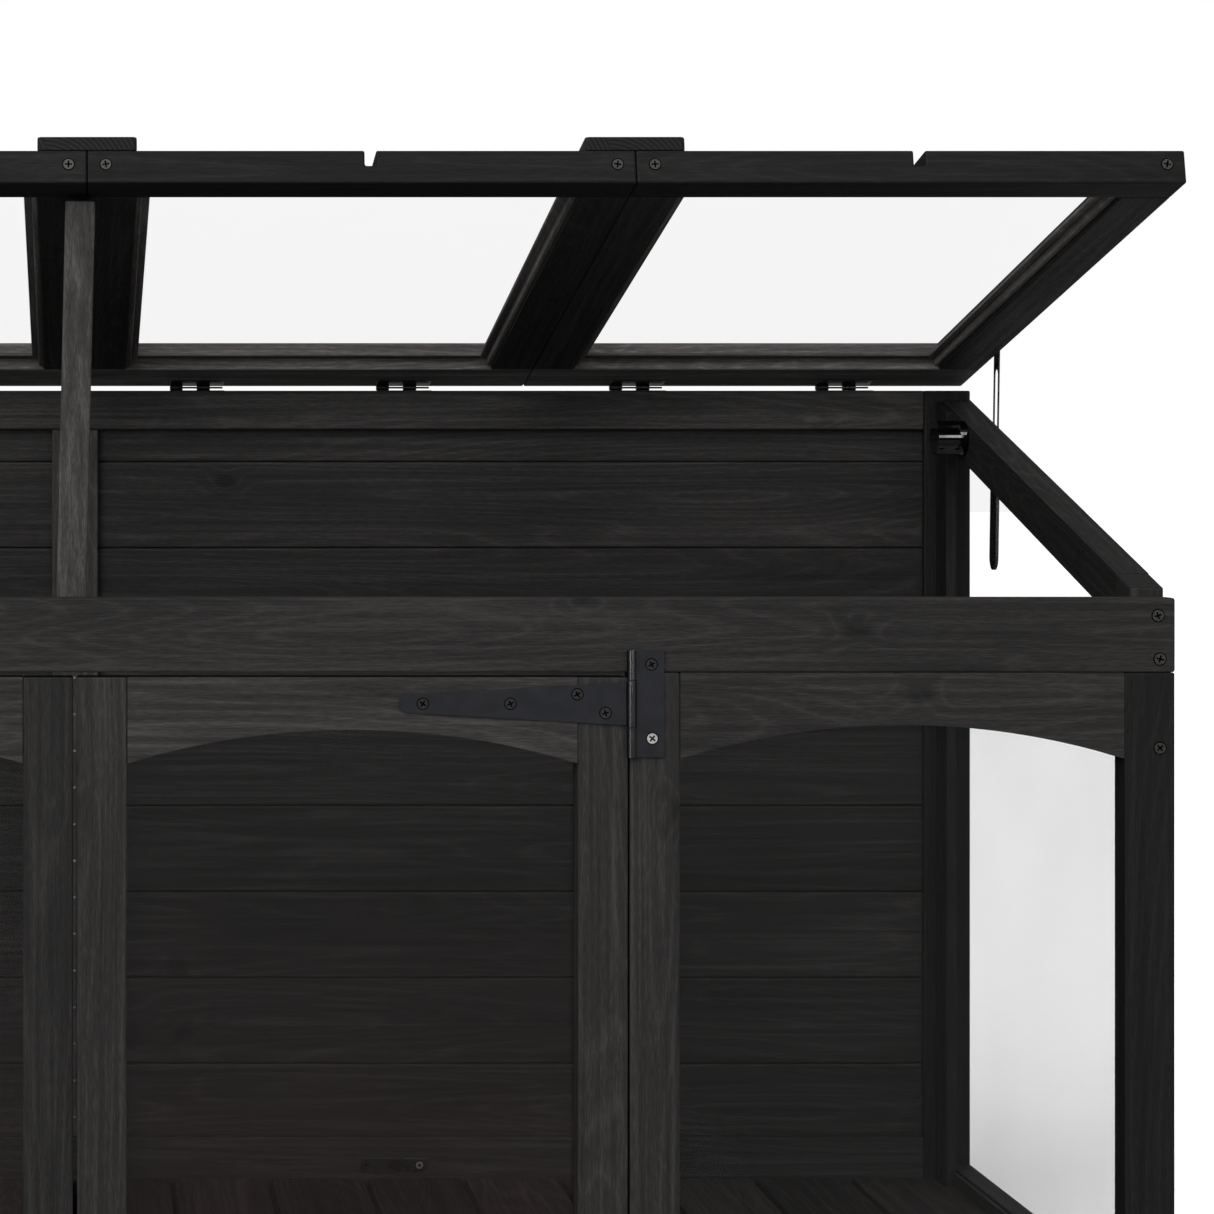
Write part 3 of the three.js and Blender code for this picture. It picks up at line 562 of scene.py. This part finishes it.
sash_tones = {1: 1.0, 2: 1.05, 3: 1.0, 4: 1.15}
made_timbers = 0
for number, sash_tone in sash_tones.items():
    sash = f"roof_sash_{number}"
    left, right = (corner.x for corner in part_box(sash))

    def front_rail(bm):
        middle = (left + right) / 2 + NOTCH_OFF_CENTRE
        outline = [
            (left, ROOF_LOW),
            (right, ROOF_LOW),
            (right, ROOF_HIGH),
            (middle + NOTCH_HALF, ROOF_HIGH),
            (middle + NOTCH_HALF, ROOF_HIGH - NOTCH_DEPTH),
            (middle - NOTCH_HALF, ROOF_HIGH - NOTCH_DEPTH),
            (middle - NOTCH_HALF, ROOF_HIGH),
            (left, ROOF_HIGH),
        ]
        points = [(x, ROOF_FRONT, z) for x, z in outline]
        push_section(bm, points, (0, RAIL - JOINT, 0), 0.0015)

    def back_rail(bm):
        push_block(bm, (left, RAILS_END + JOINT, ROOF_LOW), (right, ROOF_BACK, ROOF_HIGH))

    def side_strip(bm, edge_a, edge_b, bottom, top, *easing):
        """A bar between two distances across the roof, as long as the side rails."""
        low = (min(edge_a, edge_b), RAILS_START + JOINT, bottom)
        high = (max(edge_a, edge_b), RAILS_END - JOINT, top)
        push_block(bm, low, high, *easing)

    def left_rail(bm):
        side_strip(bm, left, left + RAIL, ROOF_LOW, ROOF_HIGH)

    def right_rail(bm):
        side_strip(bm, right, right - RAIL, ROOF_LOW, ROOF_HIGH)

    def long_ledges(bm):
        front = (RAILS_START - LEDGE_TUCK, RAILS_START + LEDGE)
        back = (RAILS_END - LEDGE, RAILS_END + LEDGE_TUCK)
        for near, far in (front, back):
            low = (left + RAIL + LEDGE, near, LEDGE_LOW)
            high = (right - RAIL - LEDGE, far, LEDGE_HIGH)
            push_block(bm, low, high, 0.0005, 1)

    def short_ledges(bm):
        for edge, sign in ((left, 1), (right, -1)):
            tongue = [edge + sign * (RAIL - LEDGE_TUCK), edge + sign * (RAIL + LEDGE)]
            side_strip(bm, *tongue, LEDGE_LOW, LEDGE_HIGH, 0.0005, 1)
            bead = [edge + sign * (RAIL - BEAD_TUCK), edge + sign * (RAIL + BEAD_WIDTH)]
            side_strip(bm, *bead, ROOF_LOW + 0.0035, LEDGE_LOW + BEAD_TUCK, 0.0015, 2)

    timbers = [
        # The last number mixes each timber's own tone with painted light: the back rail and the
        # ledges are painted far lighter for the light they lack, and the front rail darker.
        ("front_rail", front_rail, "X", 0.29),
        ("back_rail", back_rail, "X", 3.8),
        ("left_rail", left_rail, "Y", 0.76),
        ("right_rail", right_rail, "Y", 0.66),
        ("long_ledges", long_ledges, "X", 2.4),
        ("short_ledges", short_ledges, "Y", 4.6),
    ]
    for index, (part, builder, along, part_tone_and_light) in enumerate(timbers):
        seed, tone = 80 + number * 6 + index, sash_tone * part_tone_and_light
        wood = stained_wood(f"{sash}_{part}_wood", along, seed, tone, ROOF_SLOPE)
        piece = new_piece(f"{sash}_{part}", builder, wood, "roof", to_roof)
        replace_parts(piece, sash)
        made_timbers += 1
print("sash timbers:", made_timbers)

# %% [markdown]
# ## The boarded back
# The back is horizontal boards with eased edges, so a shallow V shows at each joint, and one
# upright batten ties them at the middle. Separate boards let each have its own grain, knots and
# tone.

# %% Build the back boards
BOARD_FACE = BACK_INNER + 0.010
BOARD_BACK = BOARD_FACE + 0.012
BOARD_GAP_HALF, BOARD_EASE = 0.0002, 0.002
TONGUE = 0.005
FIRST_JOINT, BOARD_PITCH, LOWEST_JOINT = 0.804, 0.0848, 0.145
BATTEN_HALF, BATTEN_FOOT, BATTEN_TOP = 0.0225, 0.1403, 0.8357

wall_low, wall_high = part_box("back_boards")
joint_heights = [wall_high.z, FIRST_JOINT]
while joint_heights[-1] - BOARD_PITCH > LOWEST_JOINT:
    joint_heights.append(joint_heights[-1] - BOARD_PITCH)
joint_heights.append(wall_low.z + 0.006)
board_tones = [1.06, 0.94, 0.72, 1.0, 1.1, 0.95, 1.1, 1.0, 1.05, 1.0]
for index, (top, bottom) in enumerate(zip(joint_heights, joint_heights[1:])):

    def board(bm):
        low = (wall_low.x, BOARD_FACE, bottom + BOARD_GAP_HALF)
        high = (wall_high.x, BOARD_BACK, top - BOARD_GAP_HALF)
        push_block(bm, low, high, BOARD_EASE)
        tongue_low = (wall_low.x, BOARD_FACE + 0.004, bottom - TONGUE)
        tongue_high = (wall_high.x, BOARD_BACK - 0.003, bottom + TONGUE)
        push_block(bm, tongue_low, tongue_high, 0.0003, 1)

    name, tone, redness = f"back_board_{index + 1}", board_tones[index], 0.008 * index
    wood = stained_wood(f"{name}_wood", "X", 130 + index, tone, red=redness)
    piece = new_piece(name, board, wood, "frame")
    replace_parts(piece, "back_boards")


def batten(bm):
    low = (-BATTEN_HALF, BACK_INNER, BATTEN_FOOT)
    push_block(bm, low, (BATTEN_HALF, BOARD_FACE + 0.0005, BATTEN_TOP))


batten_wood = stained_wood("back_batten_wood", "Z", 145, 1.7)
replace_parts(new_piece("back_batten", batten, batten_wood, "frame"), "back_boards")
print("boards:", len(joint_heights) - 1)

# %% [markdown]
# ## Small hinges along the back
# Two small butt hinges carry each sash. Their thin leaves lie let into the roof and the back rail,
# and the knuckles stand in the gap between the two, round a pin on the hinge line.

# %% Build the roof's hinges
HINGE_WIDTH, KNUCKLE, PIN = 0.053, 0.0029, 0.0009
KNUCKLE_LONG = 0.013
hinge_places = []
for number in sash_tones:
    sash_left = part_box(f"roof_sash_{number}")[0].x
    hinge_places += [sash_left + 0.084, sash_left + 0.288]


def rod(bm, x0, x1, y, z, radius, segments=20, ease=0.0):
    """A round bar along X."""
    made = bmesh.ops.create_cone(
        bm, cap_ends=True, segments=segments, radius1=radius, radius2=radius, depth=x1 - x0
    )
    turn = Matrix.Translation(((x0 + x1) / 2, y, z)) @ Matrix.Rotation(math.pi / 2, 4, "Y")
    bmesh.ops.transform(bm, matrix=turn, verts=made["verts"])
    if ease:
        rims = [e for e in bm.edges if e.verts[0] in made["verts"] and len(e.link_faces) == 2]
        rims = [e for e in rims if any(len(f.verts) > 4 for f in e.link_faces)]
        bmesh.ops.bevel(
            bm, geom=rims, offset=ease, segments=2, profile=0.5, affect="EDGES", material=-1
        )


def lower_leaves(bm):
    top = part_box("back_top_rail")[1].z
    y, z = hinge_line.y, hinge_line.z
    for x in hinge_places:
        low = (x, BACK_INNER + 0.002, top - 0.0008)
        push_block(bm, low, (x + HINGE_WIDTH, y - 0.001, top + 0.0004), 0.0002, 1)
        rod(bm, x, x + KNUCKLE_LONG - 0.0005, y, z, KNUCKLE, ease=0.0003)
        rod(bm, x + 0.0015, x + HINGE_WIDTH - 0.001, y, z, PIN, 12)


def upper_leaves(bm):
    for x in hinge_places:
        low = (x, -0.018, ROOF_LOW - 0.0004)
        push_block(bm, low, (x + HINGE_WIDTH, -0.001, ROOF_LOW + 0.0008), 0.0002, 1)
        knuckle = x + HINGE_WIDTH / 2
        rod(bm, knuckle, knuckle + KNUCKLE_LONG, 0, 0, KNUCKLE, ease=0.0003)


new_piece("roof_hinge_lower_leaves", lower_leaves, black_zinc, "frame")
new_piece("roof_hinge_upper_leaves", upper_leaves, black_zinc, "roof", to_roof)
print("small hinges:", len(hinge_places))

# %% [markdown]
# ## Screws
# A countersunk screw shows only its head: a flat disc a hair proud of the wood, with a cross
# recess, and a dark line of shadow round it where the countersink is wider. One head is made from a
# circle and a cross outline, filled between, with the cross pushed in and painted black as painted
# shade, and a thin black washer below stands for that line as a painted shadow. Copies of it go
# wherever a screw is driven, turned to face out of the wood.


# %% Make one screw head
CROSS_ARM, CROSS_WIDTH, CROSS_DEPTH, CROSS_FOOT = 0.68, 0.32, 0.85, 0.7
HEAD_DEPTH, HEAD_SIDES = 0.5, 20
RING_RADIUS, RING_THICK, RING_DROP = 1.2, 0.12, 0.13
# Material slot of the painted shade in the recess and round the head.
PAINTED_SHADE = 1


def cross_outline(arm, width):
    half = width / 2
    points = []
    for quarter in range(4):
        turn = Matrix.Rotation(quarter * math.pi / 2, 4, "Z")
        for x, y in ((arm, -half), (arm, half), (half, half)):
            points.append(turn @ Vector((x, y, 0)))
    return points


def make_screw_head():
    """A head of 1 unit radius in the XY plane, facing +Z, with its top at Z = 0. The recess and the
    ring round the head have the second material, the painted shade."""
    bm = bmesh.new()
    circle = bmesh.ops.create_circle(bm, cap_ends=False, segments=HEAD_SIDES, radius=1.0)["verts"]
    cross = [bm.verts.new(p) for p in cross_outline(CROSS_ARM, CROSS_WIDTH)]
    for a, b in zip(cross, cross[1:] + cross[:1]):
        bm.edges.new((a, b))
    bmesh.ops.triangle_fill(bm, edges=list(bm.edges), use_beauty=True)
    rim = [e for e in bm.edges if e.is_boundary and all(v in circle for v in e.verts)]
    recess = [e for e in bm.edges if e.is_boundary and all(v in cross for v in e.verts)]
    for edges, drop, shrink in ((rim, HEAD_DEPTH, 1.0), (recess, CROSS_DEPTH, CROSS_FOOT)):
        pushed = bmesh.ops.extrude_edge_only(bm, edges=edges)["geom"]
        verts = [v for v in pushed if isinstance(v, bmesh.types.BMVert)]
        bmesh.ops.scale(bm, vec=(shrink, shrink, 1.0), verts=verts)
        bmesh.ops.translate(bm, verts=verts, vec=(0, 0, -drop))
        loop = [e for e in pushed if isinstance(e, bmesh.types.BMEdge)]
        bmesh.ops.contextual_create(bm, geom=loop)
    # The recess faces take the painted-shade material.
    for face in bm.faces:
        middle = face.calc_center_median()
        if middle.z < -0.01 and middle.xy.length < CROSS_ARM + 0.01:
            face.material_index = PAINTED_SHADE
    before = set(bm.faces)
    bmesh.ops.create_cone(
        bm,
        cap_ends=True,
        segments=HEAD_SIDES,
        radius1=RING_RADIUS,
        radius2=RING_RADIUS,
        depth=RING_THICK,
        matrix=Matrix.Translation((0, 0, -RING_DROP)),
    )
    # The washer's faces take the painted-shade material: a painted shadow line round the head.
    for face in set(bm.faces) - before:
        face.material_index = PAINTED_SHADE
    bmesh.ops.recalc_face_normals(bm, faces=bm.faces)
    mesh = bpy.data.meshes.new("screw_head_master")
    bm.to_mesh(mesh)
    bm.free()
    return mesh


screw_head = make_screw_head()
print("screw head faces:", len(screw_head.polygons))

# %% Drive one screw
OUT_FRONT, OUT_BACK, OUT_TOP = (0, -1, 0), (0, 1, 0), (0, 0, 1)
HEAD, STEEL_HEAD, PLATE_HEAD, PLATE_BRIGHT_HEAD, PIN_HEAD = 0.0045, 0.0042, 0.0034, 0.0036, 0.0012
PROUD = 0.0004


def drive(bm, place, facing, radius, spin):
    """Copies the head to place, facing a direction, standing a little proud, with its cross turned
    by spin."""
    before = len(bm.verts)
    bm.from_mesh(screw_head)
    bm.verts.ensure_lookup_table()
    facing = Vector(facing)
    turn = facing.to_track_quat("Z", "Y").to_matrix().to_4x4()
    size = Matrix.Diagonal((radius, radius, radius, 1.0))
    spot = Matrix.Translation(Vector(place) + facing * PROUD)
    matrix = spot @ turn @ Matrix.Rotation(spin, 4, "Z") @ size
    bmesh.ops.transform(bm, matrix=matrix, verts=bm.verts[before:])


print("screw heads by radius:", HEAD, STEEL_HEAD, PLATE_HEAD)

# %% Drive the frame's and the roof's screws
FRONT_SCREWS = [(0.8664, 0.6794), (0.868, 0.6446), (0.868, 0.5734), (0.868, 0.07)]
END_X = 0.88
END_SCREWS = [(0.045, z) for z in (0.655, 0.30, 0.09)] + [(0.608, z) for z in (0.84, 0.5, 0.1)]
BACK_SCREWS, BACK_FACE = (-0.80, -0.40, 0.0, 0.40, 0.80), BACK_INNER + 0.027
SASH_SCREW_IN, SASH_SCREW_UP = 0.0145, 0.0185
CAP_SCREWS, CAP_SCREW_OUT, CAP_TOP = (-0.61, -0.33, -0.05), 0.024, 0.0418


def frame_screws(bm):
    for sign in SIDES.values():
        for index, (x, z) in enumerate(FRONT_SCREWS):
            drive(bm, (sign * x, FRONT, z), OUT_FRONT, HEAD, 0.3 + index)
        for y_in, z in END_SCREWS:
            drive(bm, (sign * END_X, FRONT + y_in, z), (sign, 0, 0), HEAD, y_in * 9 + z)
    for x in BACK_SCREWS:
        drive(bm, (x, BACK_FACE, 0.855), OUT_BACK, HEAD, x * 5)
        drive(bm, (x, BACK_FACE, 0.11), OUT_BACK, HEAD, x * 3)


def roof_screws(bm):
    for number in sash_tones:
        low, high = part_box(f"roof_sash_{number}")
        for x in (low.x + SASH_SCREW_IN, high.x - SASH_SCREW_IN):
            drive(bm, (x, ROOF_FRONT, SASH_SCREW_UP), OUT_FRONT, STEEL_HEAD, x * 7)
    for name in roof_caps:
        low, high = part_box(name)
        x = (low.x + high.x) / 2
        for y in CAP_SCREWS:
            for dx in (-CAP_SCREW_OUT, CAP_SCREW_OUT):
                drive(bm, (x + dx, y, CAP_TOP), OUT_TOP, HEAD, y * 8)


# The second finish of each screw set is the painted shade in its recesses and round its heads.
wood_screw = [screw_zinc, recess_painted_shade]
new_piece("frame_screws", frame_screws, wood_screw, "frame")
new_piece("roof_screws", roof_screws, wood_screw, "roof", to_roof)
print("wood screws driven")

# %% Drive the strap hinges' screws
DARK, BRIGHT = [coated_zinc, recess_painted_shade], [bright_zinc, recess_painted_shade]
STRAP_FACE = FRONT - 0.0023
STRAP_SCREWS = ((0.278, 0.0), (0.348, 0.0), (0.4016, 0.0075), (0.424, -0.0075))
hinge_levels = ((UPPER, 1), (LOWER, -1))
for side, sign in SIDES.items():

    def strap_screws(bm):
        for middle, up in hinge_levels:
            for x, rise in STRAP_SCREWS:
                place = (sign * x, STRAP_FACE, middle + up * rise)
                drive(bm, place, OUT_FRONT, STEEL_HEAD, x * 60)

    def leaf_screws(bm):
        for middle, up in hinge_levels:
            place = (sign * 0.4608, STRAP_FACE, middle + up * 0.0314)
            drive(bm, place, OUT_FRONT, STEEL_HEAD, 0.5)

    def bright_screws(bm):
        for middle, up in hinge_levels:
            place = (sign * 0.4614, STRAP_FACE, middle - up * 0.0278)
            drive(bm, place, OUT_FRONT, STEEL_HEAD, 0.9)

    new_piece(f"{side}_strap_screws", strap_screws, DARK, f"{side}_door")
    new_piece(f"{side}_leaf_screws", leaf_screws, DARK, "frame")
    new_piece(f"{side}_bright_leaf_screws", bright_screws, BRIGHT, "frame")
print("strap hinge screws driven")

# %% [markdown]
# ## Joining plates and batten pins
# A flat steel plate with three screws ties the floor's back edge on the inside of each half.
# Bright pins in a row hold the boards to the batten, and show through the gap between the doors.


# %% Plates and pins
PLATE_X, PLATE_Z = (0.280, 0.346), (0.106, 0.120)
PLATE_FACE = BACK_INNER - 0.0016
PLATE_SCREW_X, PLATE_BRIGHT_X, PLATE_SCREW_Z = (0.286, 0.3112), 0.3385, 0.113
PIN_X, FIRST_PIN, LAST_PIN, PIN_PITCH = -0.0005, 0.16, 0.83, 0.036


def plates(bm):
    for sign in SIDES.values():
        left, right = sorted(sign * x for x in PLATE_X)
        low, high = (left, PLATE_FACE, PLATE_Z[0]), (right, BACK_INNER - 0.0001, PLATE_Z[1])
        push_block(bm, low, high, 0.0005)


def plate_screws(bm):
    for sign in SIDES.values():
        for x in PLATE_SCREW_X:
            place = (sign * x, PLATE_FACE, PLATE_SCREW_Z)
            drive(bm, place, OUT_FRONT, PLATE_HEAD, x * 50)


def plate_bright_screws(bm):
    for sign in SIDES.values():
        place = (sign * PLATE_BRIGHT_X, PLATE_FACE, PLATE_SCREW_Z)
        drive(bm, place, OUT_FRONT, PLATE_BRIGHT_HEAD, 0.4)


def batten_pins(bm):
    z = FIRST_PIN
    while z < LAST_PIN:
        drive(bm, (PIN_X, BACK_INNER, z), OUT_FRONT, PIN_HEAD, z * 90)
        z += PIN_PITCH


new_piece("joining_plates", plates, black_zinc, "frame")
new_piece("plate_screws", plate_screws, DARK, "frame")
new_piece("plate_bright_screws", plate_bright_screws, BRIGHT, "frame")
new_piece("batten_pins", batten_pins, BRIGHT, "frame")
bpy.data.meshes.remove(screw_head)
print("plates, their screws and the pins are in place")

# %% [markdown]
# ## Studio
# A pale floor runs out to a pale surround, so nothing behind the frame draws the eye. Both look
# brighter than the light they throw, as in a studio with flags that keep black pieces black. A
# broad soft sun from the front left lights the floor evenly as far as it goes, and a large softbox
# fills. Three strip lights act on gloss alone: they draw the bright lines down the hinge barrels
# and the knob. The ground under the slats is kept dark by an ambient occlusion node, as the gaps
# would show it. The camera stands square to the front, level, and its lens is shifted to frame the
# right half.

# %% Floor and surround
FLOOR_HALF = 60.0
FLOOR_TONE, FLOOR_SEEN_MORE = 0.45, 1.55
SHADE_REACH, SHADE_DEPTH = 0.35, 2.0
SURROUND_TONE, SURROUND_SEEN_MORE = 0.32, 0.68

floor_mesh = bpy.data.meshes.new("studio_floor")
bm = bmesh.new()
bmesh.ops.create_grid(bm, x_segments=1, y_segments=1, size=FLOOR_HALF)
bm.to_mesh(floor_mesh)
bm.free()
studio_floor = bpy.data.objects.new("studio_floor", floor_mesh)
scene.collection.objects.link(studio_floor)
floor_paint, tree, shader = new_material("floor_paint")
seen = add(tree, "ShaderNodeLightPath", {}, out=0)
open_sky = add(tree, "ShaderNodeAmbientOcclusion", {"Distance": SHADE_REACH}, out=1, samples=8)
floor_tone = calc(tree, "ADD", calc(tree, "MULTIPLY", seen, FLOOR_SEEN_MORE), FLOOR_TONE)
floor_tone = calc(tree, "MULTIPLY", floor_tone, calc(tree, "POWER", open_sky, SHADE_DEPTH))
tree.links.new(floor_tone, shader.inputs["Base Color"])
shader.inputs["Roughness"].default_value = 0.9
shader.inputs["Specular IOR Level"].default_value = 0.0
floor_mesh.materials.append(floor_paint)

world = bpy.data.worlds.new("studio_surround")
scene.world = world
world.use_nodes = True
tree = world.node_tree
seen = add(tree, "ShaderNodeLightPath", {}, out=0)
strength = calc(tree, "ADD", calc(tree, "MULTIPLY", seen, SURROUND_SEEN_MORE), SURROUND_TONE)
tree.links.new(strength, tree.nodes["Background"].inputs["Strength"])
tree.nodes["Background"].inputs["Color"].default_value = (1.0, 1.0, 1.0, 1.0)
print("floor half width:", FLOOR_HALF)


# %% Lights
def light(name, kind, place, target, energy, **settings):
    data = bpy.data.lights.new(name, kind)
    data.energy = energy
    for key, value in settings.items():
        setattr(data, key, value)
    lamp = bpy.data.objects.new(name, data)
    scene.collection.objects.link(lamp)
    lamp.location = place
    lamp.rotation_euler = (Vector(target) - Vector(place)).to_track_quat("-Z", "Y").to_euler()


light("soft_sun", "SUN", (-2.0, -5.0, 4.2), (0, 0, 0.4), 1.42, angle=math.radians(50))
light("softbox", "AREA", (-2.2, -3.2, 2.6), (0.2, 0, 0.6), 52.0, shape="SQUARE", size=2.4)
strip = {"shape": "RECTANGLE", "size": 0.12, "size_y": 2.0, "diffuse_factor": 0.0}
light("left_strip", "AREA", (-1.7, -3.0, 1.3), (0.4, 0, 0.6), 11.0, **strip)
light("right_strip", "AREA", (1.8, -3.0, 1.5), (0.8, 0.2, 0.8), 9.0, **strip)
strip |= {"size": 2.0, "size_y": 0.15}
light("top_strip", "AREA", (0.3, -1.4, 2.8), (0.7, 0.2, 0.8), 8.0, **strip)
print("lights:", len(bpy.data.lights))

# %% Camera
CAMERA_AWAY, CAMERA_HEIGHT = 2.6, 0.795
camera_data = bpy.data.cameras.new("camera")
camera = bpy.data.objects.new("camera", camera_data)
scene.collection.objects.link(camera)
camera.location = (0.0, FRONT - CAMERA_AWAY, CAMERA_HEIGHT)
camera.rotation_euler = (math.pi / 2, 0, 0)
camera_data.sensor_width = 36.0
camera_data.lens = 96.376
camera_data.shift_x = 0.4382
camera_data.shift_y = -0.112
camera_data.clip_end = 200.0
scene.camera = camera
scene.view_settings.view_transform = "Standard"
scene.view_settings.look = "None"
print("camera at", tuple(round(v, 3) for v in camera.location))
